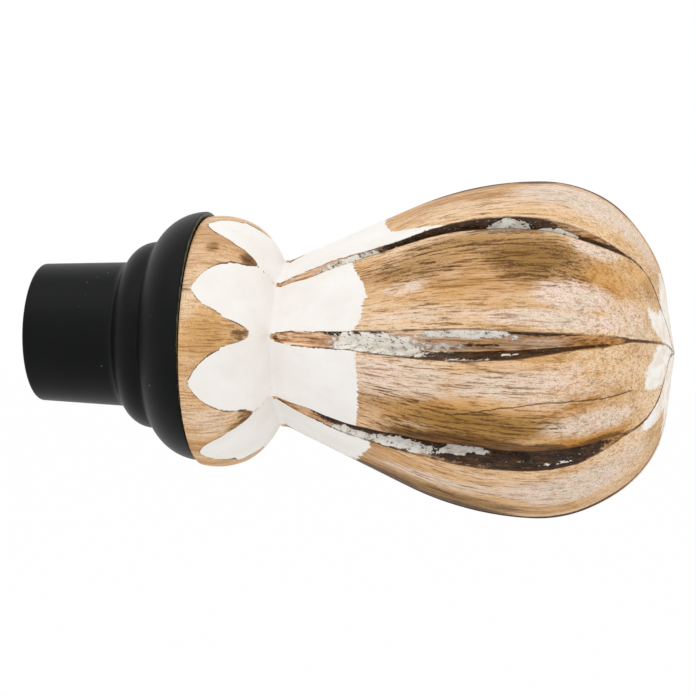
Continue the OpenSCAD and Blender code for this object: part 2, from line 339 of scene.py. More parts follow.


# Marks of hand and age, and a few painted highlights. White paint ends on each petal: [place across
# it, distance from the mouth]
WHITE_ENDS = {
    0: [(0, 71.4), (0.15, 72.9), (0.37, 73.9), (0.57, 73.4), (0.75, 71.8), (1, 69.9)],
    1: [(0, 89), (0.06, 86), (0.14, 82.4), (0.22, 78.6), (0.3, 77), (0.6, 75.6), (1, 75.2)],
    6: [(0, 70.6), (0.4, 71.6), (0.7, 73.2), (0.85, 74.8), (1, 74.4)],
    7: [(0, 72), (0.4, 72.8), (0.75, 72.5), (1, 72)]}
TIP_STARTS = {
    0: [(0, 131.3), (0.08, 130.9), (0.17, 129.9), (0.3, 128.9), (0.45, 128.5), (0.52, 129.4),
        (0.62, 130.4), (0.8, 131), (1, 131.2)],
    1: [(0, 130.7), (0.3, 130.9), (1, 131.4)],
    6: [(0, 131.6), (0.5, 131.6), (0.66, 130.4), (0.76, 129), (0.9, 127.4), (1, 127)],
    7: [(0, 132), (0.15, 131.2), (0.28, 129.9), (0.36, 128.4), (0.47, 127.7), (0.59, 127.8),
        (0.68, 128.3), (0.76, 129.1), (0.9, 130.1), (1, 130.6)]}
# A fine split along one petal: its petal, and [distance from the mouth, place across]
SPLIT_ON = 7
SPLIT = [(90, 0.37), (94.2, 0.41), (101.1, 0.49), (108.6, 0.53), (116, 0.5), (121.6, 0.47),
         (126, 0.48)]
# Marks on the petals: petal, kind, distance from the mouth, place across, half length, half
# width, strength
PETAL_MARKS = [
    (0, "stain", 89, 0.585, 9, 0.45, 0.6), (0, "stain", 78, 0.68, 6, 0.35, 0.45),
    (0, "chalk_and_sheen", 82, 0.44, 6, 2, 0.6), (0, "chalk_and_sheen", 89, 0.15, 18, 2.2, 0.5),
    (0, "smoke", 106, 0.7, 12, 6.5, 1), (0, "smoke", 94, 0.86, 13, 2.6, 0.8),
    (0, "smoke", 84, 0.68, 12, 4.5, 0.6), (0, "honey", 94, 0.36, 12, 2.6, 0.35),
    (0, "chalk_and_sheen", 118, 0.92, 5.5, 2, 0.9), (0, "honey", 120, 0.6, 7, 4.4, 1),
    (0, "chalk_and_sheen", 114.5, 0.36, 9, 3.6, 1), (0, "chalk_and_sheen", 112, 0.12, 20, 2.2, 0.85),
    (0, "smoke", 113.5, 0.55, 5, 1.4, 0.7), (0, "honey", 127, 0.86, 4, 2.4, 0.9),
    (0, "chalk_and_sheen", 125, 0.2, 6, 5, 0.55), (0, "smoke", 128.6, 0.72, 1.6, 2.6, 0.45),
    (0, "stain", 101, 0.97, 9, 0.9, 0.5), (0, "stain", 100, 0.04, 9, 0.6, 0.45),
    (7, "chalk_and_sheen", 80, 0.74, 16, 5, 0.7), (7, "smoke", 80, 0.45, 12, 3.4, 0.5),
    (7, "chalk_and_sheen", 104, 0.74, 17, 3.6, 0.75), (7, "smoke", 96, 0.26, 18, 4, 1.1),
    (7, "honey", 93, 0.36, 17, 5, 1), (7, "honey", 115, 0.5, 5, 2.2, 1.1),
    (7, "chalk_and_sheen", 118, 0.24, 10, 3, 0.8), (7, "stain", 93, 0.04, 18, 2.3, 0.95),
    (7, "chalk_and_sheen", 112, 0.64, 15, 5, 0.45),
    (7, "smoke", 90, 0.14, 15, 2.6, 1), (7, "smoke", 104, 0.3, 8, 3, 0.8),
    (7, "chalk_and_sheen", 84, 0.2, 5, 1.4, 0.4),
    (7, "stain", 108, 0.02, 8, 1.6, 1), (7, "honey", 119, 0.05, 8, 2.2, 1.4),
    (7, "stain", 119, 0.02, 7, 1.1, 0.8),
    (1, "chalk_and_sheen", 116, 0.55, 17, 7, 1.1), (1, "honey", 106, 0.1, 18, 1.5, 0.5),
    (1, "chalk_and_sheen", 86, 0.5, 9, 1.2, 0.4), (1, "stain", 106, 0.97, 5, 3, 1.4),
    (1, "stain", 118, 1, 13, 1.4, 1), (1, "stain", 93, 1, 12, 2, 0.9),
    (1, "honey", 125, 0.4, 7, 5, 0.7),
    (6, "chalk_and_sheen", 87, 0.62, 13, 2, 0.75), (6, "stain", 76, 0.08, 9, 4, 1.3),
    (6, "stain", 88.5, 0.39, 3.5, 0.5, 0.7), (6, "chalk_and_sheen", 114, 0.65, 16, 6, 1),
    (6, "stain", 92, 0.04, 12, 3, 1), (6, "stain", 117, 0, 14, 1.4, 1),
    (6, "smoke", 90, 0.24, 18, 5, 1.1), (6, "honey", 104, 0.5, 10, 3, 0.6),
    (6, "smoke", 80, 0.4, 9, 1.2, 0.7), (6, "chalk_and_sheen", 98, 0.62, 20, 1.6, 0.8),
    (0, "smoke", 37.4, 0.45, 1.3, 3.4, 0.9), (0, "chalk_and_sheen", 37.6, 0.62, 1.5, 3, 0.5)]
# The same in the channels, where the place across runs from -1 below to 1 above
CHANNEL_MARKS = [
    (0, "stain", 54.6, -0.4, 0.9, 0.4, 0.6), (0, "stain", 69, 0.8, 5, 0.8, 0.95),
    (0, "stain", 70, -0.95, 6, 0.4, 1),
    (0, "stain", 72, 0.95, 9, 0.5, 1), (0, "chalk_and_sheen", 76.5, -0.1, 12, 4, 1.05),
    (0, "chalk_and_sheen", 94.5, 0.8, 11, 1, 1.3), (0, "stain", 98, -0.6, 17, 1.9, 1.5),
    (0, "chalk_and_sheen", 94, -0.9, 6, 0.35, 1), (0, "chalk_and_sheen", 102.5, -0.6, 4, 0.3, 0.9),
    (0, "stain", 96, 0.3, 8, 0.7, 0.6), (0, "chalk_and_sheen", 90, 0.2, 6, 0.7, 0.8),
    (0, "stain", 87, 0.4, 4, 0.6, 0.6),
    (0, "honey", 119, 0.3, 9, 2, 1.1), (0, "honey", 100, 0.5, 9, 2, 0.5),
    # painted highlight: a soft pale pink sheen along the front channel's upper wall, near the widest
    # place
    (0, "chalk_and_sheen", 107, 0.4, 9, 0.9, 0.45),
    (0, "stain", 115, -0.6, 8, 0.5, 0.8), (0, "stain", 104, 0.95, 13, 0.75, 1.2),
    (0, "stain", 84, -0.8, 8, 0.8, 1.3),
    (1, "chalk_and_sheen", 69, 0.1, 9, 1.8, 0.8), (1, "stain", 93, 0.1, 20, 3.6, 1.4),
    (1, "chalk_and_sheen", 79, 0.1, 5, 0.5, 1.1), (1, "chalk_and_sheen", 101.4, 0.35, 4.8, 1.2, 1.9),
    (1, "stain", 106.6, 0.1, 4, 2.4, 1.4), (1, "chalk_and_sheen", 110.6, 0.25, 4.6, 0.5, 1.4),
    (1, "stain", 114, -0.3, 12, 1.3, 1.2),
    (1, "honey", 117, 0.5, 9, 1.2, 0.9), (1, "stain", 74, -0.6, 8, 0.8, 1),
    (7, "stain", 67, 0.5, 6, 1.8, 1.1), (7, "chalk_and_sheen", 71, -0.7, 6, 0.8, 1.2),
    (7, "chalk_and_sheen", 81, -0.62, 9, 0.9, 1.2), (7, "stain", 80, 0.3, 14, 2.2, 1.3),
    (7, "stain", 95, 0, 13, 3.4, 1.2), (7, "chalk_and_sheen", 94.5, -0.22, 5, 0.55, 1.5),
    # the second of these two is a painted highlight: faint pale flecks for the sheen on the bottom
    # channel's lower wall
    (7, "chalk_and_sheen", 91.5, -0.5, 3.4, 0.35, 1.2), (7, "chalk_and_sheen", 112, -0.78, 6, 0.3, 0.7),
    (7, "stain", 108, -0.1, 14, 4, 1.4),
    (7, "honey", 121, 0, 6, 1.6, 1), (7, "honey", 58, -0.2, 4, 1.2, 0.5)]
# Every corner between two tongues is dark where it closes, and chipped on to the waist
CHANNEL_MARKS += [(i, "stain", 49, 0, 2.4, 2.4, much)
                  for i, much in ((0, 0.5), (1, 0.75), (7, 0.75))]
CHANNEL_MARKS += [(i, "stain", 51, 0, 2.6, 1, 0.6) for i in (1, 7)]
# The bare wood between the tongues, and the channels seen edge on
CHANNEL_MARKS += [
    (0, "honey", 42.5, 0, 6, 7, 0.8), (0, "smoke", 43, 0, 5, 5, 0.35),
    (1, "smoke", 41.3, 0.1, 1.7, 1.5, 0.9), (0, "smoke", 47.6, -0.5, 2, 1.2, 0.5),
    (1, "smoke", 48, -0.4, 2, 1, 0.5), (7, "smoke", 47, -0.7, 2.6, 1.2, 0.9),
    (7, "chalk_and_sheen", 42, 0, 5, 5, 0.4)]
CHANNEL_MARKS += [(i, kind, x, 0, reach, 6, much) for i in (2, 6) for kind, x, reach, much in
                  (("chalk_and_sheen", 69, 8, 0.9), ("stain", 90, 15, 1.2), ("stain", 114, 17, 1.5))]
# Petals and channels behind carry the marks of those in view, a little further along
PETAL_LIKE = {0: (0, 0), 1: (1, 0), 2: (7, 1.5), 3: (0, 3), 4: (6, -2), 5: (1, 2), 6: (6, 0),
              7: (7, 0)}
CHANNEL_LIKE = {0: (0, 0), 1: (1, 0), 2: (2, 0), 3: (0, -3), 4: (1, 4), 5: (7, -4), 6: (6, 0),
                7: (7, 0)}
KINDS = ["stain", "chalk_and_sheen", "honey", "smoke"]
FIELDS = ["paint", "edge", "cut", "split"] + KINDS


def marks_at(marks, x, place, span):
    """How strongly each kind of mark covers places across a petal or channel of one row."""
    fields = {kind: np.zeros(len(place)) for kind in KINDS}
    for kind, at, across, half_l, half_w, strength in marks:
        reach = np.hypot((x - at) / half_l, (place - across) * span / half_w)
        fields[kind] = np.maximum(fields[kind], strength * (1 - eased(reach, 0.35, 1.3)))
    return fields


def white_reach(i, x, t):
    """How far inside the white paint a channel's row is, from the petals on both sides of it."""
    below, above = PETAL_LIKE[(i - 1) % PETALS][0], PETAL_LIKE[i][0]
    ends = WHITE_ENDS[below][-1][1] * (1 - t) + WHITE_ENDS[above][0][1] * t
    starts = TIP_STARTS[below][-1][1] * (1 - t) + TIP_STARTS[above][0][1] * t
    return np.maximum(ends - x, x - starts)


def row_fields(k_row):
    """What the finish needs to know at each column of one row, in mm where it is a distance.

    paint: how far inside the white paint, edge: how far from a cut edge, cut: how far inside a
    channel, split: how far from the fine split, and then the kinds of marks.
    """
    x, r = row_x[k_row], max(row_r[k_row], 0.5)
    mm = math.radians(1) * r
    out = {name: [] for name in FIELDS}
    hush = 2 * float(eased(x, SEAM_AT - 1, SEAM_AT + 0.4) * (x < WAIST_AT))
    for i in range(PETALS):
        lower, floor, upper, depth = (line[k_row] for line in lines[i])
        s = ACROSS_CHANNEL[:-1]
        span = np.where(s < 0, floor - lower, upper - floor) * mm
        inside = (1 - np.abs(s)) * span
        like, shift = CHANNEL_LIKE[i]
        shift = shift if x > WAIST_AT else 0
        fields = marks_at([m[1:] for m in CHANNEL_MARKS if m[0] == like], x - shift, s, span)
        if x < WAIST_AT:
            inside = inside if x > TONGUES_AT else np.hypot(inside, TONGUES_AT - x)
        opens = float(eased(x, 52.6, 54))
        # the seam where two tongues meet is painted over, and a closed crease is all dark
        seam = min(x - SEAM_AT, SEAM_END - x)
        closed = 1 - float(eased((upper - lower) * mm, 0.5, 1.1)) * (x > WAIST_AT)
        if x < WAIST_AT:
            out["paint"] += list(np.maximum(-inside, seam))
        else:
            out["paint"] += list(np.minimum(-inside, white_reach(i, x, (s + 1) / 2)))
        out["edge"] += list(inside * (1 - closed * (x > 110)) + hush)
        out["cut"] += list(inside * opens - 5 * (1 - opens))
        out["split"] += [FAR] * len(s)
        for kind in KINDS:
            out[kind] += list(fields[kind])
        t = ACROSS_PETAL[:-1]
        width = (lines[(i + 1) % PETALS][0][k_row] + (360 if i == PETALS - 1 else 0) - upper) * mm
        side = np.minimum(t, 1 - t) * width
        like, shift = PETAL_LIKE[i]
        fields = marks_at([m[1:] for m in PETAL_MARKS if m[0] == like], x - shift, t, width)
        ends = np.interp(t, *np.array(WHITE_ENDS[like]).T) + shift * 0.3
        starts = np.interp(t, *np.array(TIP_STARTS[like]).T)
        if x < TONGUES_AT:
            off = np.abs(t - 0.5) * width
            paint = -np.hypot(TONGUES_AT - x, off)
            edge = -paint
        elif x < WAIST_AT:
            paint = np.minimum(np.maximum(side, seam), x - TONGUES_AT)
            edge = paint + hush
        else:
            paint = np.minimum(side + 0.4, np.maximum(ends - x, x - starts))
            edge = side
        out["paint"] += list(paint)
        out["edge"] += list(edge)
        out["cut"] += list(-side)
        has_split = i == SPLIT_ON and SPLIT[0][0] < x < SPLIT[-1][0]
        out["split"] += list((t - along(SPLIT, x)) * width if has_split else t + FAR)
        for kind in KINDS:
            out[kind] += list(fields[kind])
    return out


def carved_wood():
    """The turned shape, with each ring of vertices moved to the carved section of its row."""
    bm = spun(SPIGOT + BULB, SECTOR * PETALS, closed=False)
    row = bm.verts.layers.int["row"]
    layers = {name: bm.verts.layers.float.new(name) for name in FIELDS}
    grain = bm.verts.layers.float_vector.new("grain")
    first = len(SPIGOT)
    widest = int(np.argmax(row_r))
    made = {}
    for vert in bm.verts:
        k_row = vert[row] - first
        if k_row < 0:
            vert[layers["paint"]], vert[layers["edge"]], vert[layers["cut"]] = -FAR, FAR, -FAR
            vert[layers["split"]] = FAR
            vert[grain] = vert.co
            continue
        if math.hypot(vert.co.y, vert.co.z) < 1e-7:
            vert.co = Vector((LENGTH * MM, 0, -WOOD_DROP * MM))
            vert[grain], vert[layers["edge"]] = vert.co, 0.4
            vert[layers["paint"]], vert[layers["cut"]], vert[layers["split"]] = 3, -1, FAR
            continue
        if k_row not in made:
            made[k_row] = section(k_row) + (row_fields(k_row),)
        turns, radii, fields = made[k_row]
        column = round(math.degrees(math.atan2(vert.co.z, -vert.co.y)) / (360 / (SECTOR * PETALS)))
        column = (column + CHANNEL_COLUMNS // 2) % (SECTOR * PETALS)
        turn, r = math.radians(turns[column]), radii[column]
        # the nose leans a little, so that it is fuller below
        x = row_x[k_row] - 0.034 * r * math.sin(turn) * float(eased(row_x[k_row], 119, 131))
        vert.co = Vector((x, -r * math.cos(turn), r * math.sin(turn) - WOOD_DROP)) * MM
        # the grain spreads with the bulb up to its widest place, so that its lines keep their width
        fan = (row_r[widest] / max(row_r[min(k_row, widest)], 17)) ** 0.85
        vert[grain] = (vert.co.x, vert.co.y * fan, vert.co.z * fan)
        for name in FIELDS:
            vert[layers[name]] = fields[name][column]
    return bm


# Finishes

def paint_tone(red, green, blue):
    """A colour written as it looks on a screen, from 0 to 255."""
    return tuple(((c / 255 + 0.055) / 1.055) ** 2.4 if c > 10 else c / 3295
                 for c in (red, green, blue)) + (1,)


class Finish:
    """A material put together from nodes by short calls."""

    def __init__(self, name):
        self.material = bpy.data.materials.new(name)
        self.material.use_nodes = True
        self.tree = self.material.node_tree
        self.shader = self.tree.nodes["Principled BSDF"]
        self.place = self.new("ShaderNodeTexCoord").outputs["Object"]

    def new(self, kind):
        return self.tree.nodes.new(kind)

    def put(self, socket, value):
        if isinstance(value, bpy.types.NodeSocket):
            self.tree.links.new(value, socket)
        else:
            socket.default_value = value

    def maths(self, kind, *values):
        node = self.new("ShaderNodeMath")
        node.operation = kind
        for socket, value in zip(node.inputs, values):
            self.put(socket, value)
        return node.outputs[0]

    def total(self, *parts):
        """The sum of values, each with its weight."""
        done = None
        for value, weight in parts:
            part = self.maths("MULTIPLY", value, weight)
            done = part if done is None else self.maths("ADD", done, part)
        return done

    def roughened(self, value, *parts):
        """A value with noises added, each about its middle and with its weight."""
        done = self.maths("SUBTRACT", value, sum(weight for _, weight in parts) / 2)
        for cloudy, weight in parts:
            done = self.maths("MULTIPLY_ADD", cloudy, weight, done)
        return done

    def step(self, value, low, high, least=0.0, most=1.0):
        """A soft step of a value from one level to another."""
        node = self.new("ShaderNodeMapRange")
        node.interpolation_type = "SMOOTHSTEP"
        for name, v in (("Value", value), ("From Min", low), ("From Max", high),
                        ("To Min", least), ("To Max", most)):
            self.put(node.inputs[name], v)
        return node.outputs[0]

    def from_mouth(self):
        """Distance from the mouth, in mm."""
        node = self.new("ShaderNodeSeparateXYZ")
        self.put(node.inputs[0], self.place)
        return self.maths("MULTIPLY", node.outputs[0], 1000.0)

    def field(self, name, vector=False):
        node = self.new("ShaderNodeAttribute")
        node.attribute_name = name
        return node.outputs["Vector" if vector else "Fac"]

    def stretched(self, per_metre, place=None):
        node = self.new("ShaderNodeMapping")
        node.inputs["Scale"].default_value = per_metre
        self.put(node.inputs["Vector"], place or self.place)
        return node.outputs[0]

    def cloud(self, per_metre, detail=3.0, rough=0.55, twist=0.0, place=None):
        """Noise with so many features to the metre along each axis."""
        node = self.new("ShaderNodeTexNoise")
        self.put(node.inputs["Vector"], self.stretched(per_metre, place))
        for name, v in (("Scale", 1.0), ("Detail", detail), ("Roughness", rough),
                        ("Distortion", twist)):
            node.inputs[name].default_value = v
        return node.outputs["Fac"]

    def dots(self, per_metre, size, place=None):
        """1 in small scattered dots."""
        node = self.new("ShaderNodeTexVoronoi")
        self.put(node.inputs["Vector"], self.stretched(per_metre, place))
        node.inputs["Scale"].default_value = 1.0
        return self.step(node.outputs["Distance"], size, size * 0.5)

    def blend(self, share, first, second):
        node = self.new("ShaderNodeMix")
        node.data_type = "RGBA"
        self.put(node.inputs[0], share)
        self.put(node.inputs[6], first)
        self.put(node.inputs[7], second)
        return node.outputs[2]

    def ramp(self, value, *stops):
        node = self.new("ShaderNodeValToRGB")
        stretch = node.color_ramp.elements
        for k, (at, colour) in enumerate(stops):
            element = stretch[k] if k < 2 else stretch.new(at)
            element.position, element.color = at, colour
        self.put(node.inputs["Fac"], value)
        return node.outputs["Color"]

    def relief(self, height, depth, before=None):
        node = self.new("ShaderNodeBump")
        node.inputs["Strength"].default_value = 1.0
        node.inputs["Distance"].default_value = depth * MM
        self.put(node.inputs["Height"], height)
        if before is not None:
            self.put(node.inputs["Normal"], before)
        return node.outputs[0]


def wood_finish():
    """Oiled grain with chalky wash, worn white paint at both ends, dark old stain in the cuts and a
    painted highlight on some of their walls.
    """
    f = Finish("carved_wood_finish")
    grain = f.field("grain", vector=True)
    x = f.from_mouth()
    tipward = f.step(x, 94, 120)
    broad = f.cloud((16, 80, 80), 2, place=grain)
    streak = f.cloud((34, 460, 460), 5, 0.66, 0.3, grain)
    lines = f.cloud((140, 2200, 2200), 4, 0.7, 0.15, grain)
    fibre = f.cloud((420, 4200, 4200), 2, 0.6, place=grain)
    patchy = f.cloud((90, 160, 160), 4, 0.6)
    ragged = f.cloud((420, 420, 420), 4, 0.65)
    flaky = f.cloud((460, 950, 950), 5, 0.75, 0.3)
    crumbs = f.cloud((1100, 2000, 2000), 2, 0.7)
    grit = f.cloud((3600, 4200, 4200), 2, 0.7)
    paint, edge, cut = f.field("paint"), f.field("edge"), f.field("cut")
    stain, chalk_and_sheen = f.field("stain"), f.field("chalk_and_sheen")
    honey, smoke = f.field("honey"), f.field("smoke")

    tone = f.roughened(0.5, (streak, 0.55), (broad, 0.8), (lines, 0.35))
    wood = f.ramp(tone, (0.36, paint_tone(196, 147, 90)), (0.46, paint_tone(221, 174, 119)),
                  (0.54, paint_tone(233, 190, 142)), (0.64, paint_tone(243, 211, 173)))
    wood = f.blend(f.step(patchy, 0.44, 0.58, 0, 0.5), wood,
                   f.ramp(tone, (0.36, paint_tone(206, 160, 120)),
                          (0.6, paint_tone(242, 208, 177))))
    wood = f.blend(f.step(x, 116, 129, 0, 0.55), wood,
                   f.ramp(tone, (0.36, paint_tone(202, 164, 116)), (0.6, paint_tone(243, 215, 180))))
    wood = f.blend(f.step(lines, 0.54, 0.66, 0, 0.5), wood, paint_tone(246, 224, 198))
    wood = f.blend(f.maths("MULTIPLY", honey, 0.8), wood,
                   f.ramp(tone, (0.38, paint_tone(186, 126, 50)), (0.6, paint_tone(230, 174, 98))))
    smoky = f.step(f.roughened(smoke, (streak, 1.6), (lines, 2.0), (grit, 1.8)), 0.2, 1.2, 0, 0.95)
    wood = f.blend(smoky, wood, f.ramp(tone, (0.36, paint_tone(126, 86, 28)),
                                       (0.64, paint_tone(182, 138, 70))))
    wash = f.roughened(chalk_and_sheen, (streak, 1.2), (lines, 1.0), (ragged, 0.8))
    wash = f.maths("MULTIPLY", f.step(wash, 0, 1, 0, 0.9), f.step(chalk_and_sheen, 0, 0.45))
    wood = f.blend(wash, wood, f.ramp(patchy, (0.44, paint_tone(245, 223, 207)),
                                      (0.56, paint_tone(235, 218, 199))))
    busy = f.step(f.roughened(smoke, (patchy, 1.2), (broad, 1.0)), -0.4, 0.5, 0.5, 1)
    busy = f.maths("MULTIPLY", busy, f.step(x, 50, 62, 0.55, 1))
    busy = f.maths("MULTIPLY", busy, f.step(tipward, 0, 1, 1, 0.55))
    dark_lines = f.maths("MULTIPLY", f.step(f.roughened(lines, (crumbs, 0.15)), 0.485, 0.38), busy)
    wood = f.blend(dark_lines, wood, f.ramp(streak, (0.42, paint_tone(96, 60, 20)),
                                            (0.58, paint_tone(146, 98, 46))))
    deep_lines = f.step(f.roughened(lines, (streak, 0.15), (crumbs, 0.2)), 0.53, 0.43)
    wood = f.blend(f.maths("MULTIPLY", deep_lines, f.step(smoke, 0.1, 0.7, 0, 0.75)), wood,
                   paint_tone(72, 46, 14))
    wood = f.blend(f.step(fibre, 0.42, 0.33, 0, 0.5), wood, paint_tone(108, 72, 34))
    grainy = f.maths("ADD", f.step(x, 92, 118, 0.4, 0.65), f.step(x, 58, 50, 0, 0.3))
    stipple = f.maths("MULTIPLY", f.step(grit, 0.52, 0.36, 0, 0.75), grainy)
    wood = f.blend(stipple, wood, f.ramp(patchy, (0.4, paint_tone(140, 98, 46)),
                                         (0.6, paint_tone(168, 130, 84))))
    dark = f.roughened(stain, (streak, 1.5), (lines, 2.2), (flaky, 1.0))
    dark = f.maths("MULTIPLY", f.step(dark, 0.32, 0.75, 0, 0.9), f.step(stain, 0.02, 0.3))
    wood = f.blend(dark, wood, f.ramp(lines, (0.4, paint_tone(52, 30, 8)),
                                      (0.62, paint_tone(122, 76, 22))))
    split = f.maths("ABSOLUTE", f.roughened(f.field("split"), (flaky, 0.7), (ragged, 0.5)))
    wood = f.blend(f.step(split, 0.2, 0.06, 0, 0.85), wood, paint_tone(74, 48, 20))

    # inside the channels
    hollow = f.ramp(f.roughened(0.5, (streak, 0.9), (lines, 0.8), (flaky, 0.4)),
                    (0.36, paint_tone(146, 94, 50)), (0.5, paint_tone(216, 172, 130)),
                    (0.62, paint_tone(246, 218, 188)))
    hollow = f.blend(f.maths("MULTIPLY", honey, 0.8), hollow,
                     f.ramp(lines, (0.42, paint_tone(124, 76, 22)), (0.56, paint_tone(206, 148, 78))))
    # a soft pale pink over the channels' chalk marks: partly chalky paint, partly a painted highlight
    # on the gouged walls
    hollow = f.blend(f.step(chalk_and_sheen, 0, 0.9, 0, 0.4), hollow, paint_tone(228, 206, 194))
    sooty = f.step(f.roughened(stain, (flaky, 1.6), (crumbs, 0.7), (streak, 0.8)), 0.28, 0.6, 0, 0.96)
    hollow = f.blend(sooty, hollow, f.ramp(f.roughened(0.5, (flaky, 0.9), (grit, 0.6)),
                                           (0.44, paint_tone(15, 9, 6)),
                                           (0.68, paint_tone(92, 56, 28))))
    hollow = f.blend(f.maths("MULTIPLY", sooty, f.step(crumbs, 0.66, 0.72, 0, 0.8)), hollow,
                     paint_tone(196, 182, 164))
    flakes = f.step(f.roughened(chalk_and_sheen, (flaky, 2.2), (crumbs, 0.7), (ragged, 0.9)), 0.55, 0.65)
    hollow = f.blend(flakes, hollow, f.ramp(f.roughened(0.5, (flaky, 0.8), (ragged, 0.5)),
                                            (0.38, paint_tone(204, 194, 178)),
                                            (0.54, paint_tone(240, 235, 226))))
    specks = f.step(f.roughened(0.5, (crumbs, 1.0), (flaky, 0.6)), 0.39, 0.33, 0, 0.9)
    hollow = f.blend(f.maths("MULTIPLY", specks, f.step(chalk_and_sheen, 0.2, 0.8)), hollow,
                     paint_tone(62, 48, 38))
    in_cut = f.step(f.roughened(cut, (flaky, 0.5), (crumbs, 0.4)), -0.05, 0.1)
    colour = f.blend(in_cut, wood, hollow)

    # a thin dark line along every cut edge
    line = f.step(f.roughened(edge, (flaky, 0.6), (ragged, 0.5)), 0.26, 0.12, 0, 0.85)
    line = f.maths("MULTIPLY", line, f.step(patchy, 0.43, 0.56, 0.45, 1))
    colour = f.blend(line, colour, paint_tone(70, 44, 24))

    # white paint at the waist and the tip, ragged past the waist and chipped where it is stained
    quiet = f.step(x, 55, 60, 0.3, 1)
    inside = f.roughened(0, (ragged, 2.6), (lines, 0.9), (crumbs, 1.0))
    inside = f.total((inside, quiet), (paint, 1.0))
    chips = f.step(f.roughened(stain, (crumbs, 2.4), (ragged, 1.2)), 0.85, 1.05, 0, 3)
    painted = f.step(f.maths("SUBTRACT", inside, chips), 0.02, f.step(x, 124, 130, 0.16, 0.8))
    white = f.ramp(patchy, (0.3, paint_tone(239, 234, 227)), (0.7, paint_tone(246, 243, 239)))
    white = f.blend(f.maths("MULTIPLY", f.step(x, 126, 133), f.step(streak, 0.4, 0.62, 0, 0.8)),
                    white, paint_tone(226, 206, 180))
    colour = f.blend(painted, colour, white)
    f.put(f.shader.inputs["Base Color"], colour)

    sticky = f.maths("MULTIPLY", sooty, in_cut)
    f.put(f.shader.inputs["Roughness"], f.step(sticky, 0, 1, 0.58, 0.2))
    f.shader.inputs["Specular IOR Level"].default_value = 0.18
    bare = f.maths("SUBTRACT", 1.0, painted)
    fine = f.maths("MULTIPLY", f.total((lines, 1.0), (fibre, 0.5)), bare)
    shape = f.relief(fine, 0.07)
    shape = f.relief(f.total((painted, 1.0), (f.maths("MULTIPLY", flakes, in_cut), 1.0)), 0.08, shape)
    shape = f.relief(patchy, 0.25, shape)
    f.put(f.shader.inputs["Normal"], shape)
    return f.material


def black_finish():
    """Satin black coat with dust and a worn rim."""
    f = Finish("black_coat_finish")
    mist = f.cloud((60, 90, 90), 3)
    dust = f.dots((420, 420, 420), 0.09)
    some = f.step(f.cloud((110, 110, 110), 2), 0.56, 0.66)
    worn = f.field("worn")
    coat = f.ramp(mist, (0.35, paint_tone(7, 8, 8)), (0.65, paint_tone(12, 13, 13)))
    coat = f.blend(f.maths("MULTIPLY", f.maths("MULTIPLY", dust, some), 0.7), coat,
                   paint_tone(120, 120, 112))
    rubbed = f.step(f.maths("ADD", worn, f.cloud((500, 500, 500), 4, 0.7)), 1.0, 1.2)
    coat = f.blend(rubbed, coat, paint_tone(84, 82, 56))
    f.put(f.shader.inputs["Base Color"], coat)
    f.shader.inputs["Roughness"].default_value = 0.4
    f.shader.inputs["Specular IOR Level"].default_value = 0.115
    f.put(f.shader.inputs["Normal"], f.relief(f.cloud((900, 900, 900), 2), 0.012))
    return f.material


def thread_height(f, axis, start, pitch, least_r):
    """Height of a thread wound round an axis, from a start in mm on and outside a least radius."""
    apart = f.new("ShaderNodeSeparateXYZ")
    f.put(apart.inputs[0], f.place)
    spot = [f.maths("MULTIPLY_ADD", out, 1000.0, -at) for out, at in zip(apart.outputs, start)]
    on = spot.pop(axis)
    turn = f.maths("ARCTAN2", *spot)
    height = f.maths("PINGPONG", f.total((on, 1 / pitch), (turn, 1 / math.tau)), 0.5)
    r = f.maths("SQRT", f.total(*((f.maths("MULTIPLY", side, side), 1.0) for side in spot)))
    shown = f.maths("MULTIPLY", f.step(on, 0, 1), f.step(r, least_r, least_r + 0.2))
    return f.maths("MULTIPLY", height, shown)


def steel_finish(name, colour, rough, *thread):
    """Plated or blackened steel, faintly brushed, with its thread as relief."""
    f = Finish(name)
    brushed = f.cloud((2400, 260, 260), 3)
    f.put(f.shader.inputs["Base Color"], f.blend(
        f.step(brushed, 0.3, 0.7), colour, tuple(c * 0.8 for c in colour[:3]) + (1,)))
    f.shader.inputs["Metallic"].default_value = 1.0
    f.shader.inputs["Roughness"].default_value = rough
    wound = f.relief(thread_height(f, *thread), 0.7)
    f.put(f.shader.inputs["Normal"], f.relief(brushed, 0.01, wound))
    return f.material


# Collar, as turned: outside from the mouth to the rim, then the cup's hollow, web and bore.
# Points are [distance from the axis, distance from the mouth]

COLLAR = softened([tuple(p) for p in joined(
    [(14.55, 0), (14.9, 0.35)], straight((14.9, 0.35), (15.55, 18.16), 24),
    arc((17.75, 18.16), 2.2, 180, 116.4, 8), arc((14.1, 25.5), 6, -63.6, 0, 14),
    [(20.1, 25.8)], arc((15.7, 36.4), 11, -66.4, -1.6, 30), [(26.4, 36.4), (25.1, 36.4)],
    arc((15.7, 36.4), 9.4, 0, -90, 14), [(15.7, 24.5), (2.4, 24.5), (2.4, 23.6), (4, 22)],
    [(13, 22)], straight((13, 22), (13, 0), 10))], 0.22)
RIM = (26.1, 36.4)       # the cup's outer edge, where the coat is worn
GRUB_AT, GRUB_HOLE_R = 9, 2.05
# Threads of the screws: axis, start in mm, pitch, least radius
WOOD_THREAD = (0, (26, 0, 0), 1.4, 0)
GRUB_THREAD = (1, (GRUB_AT, 0, 0), 0.7, 1.6)


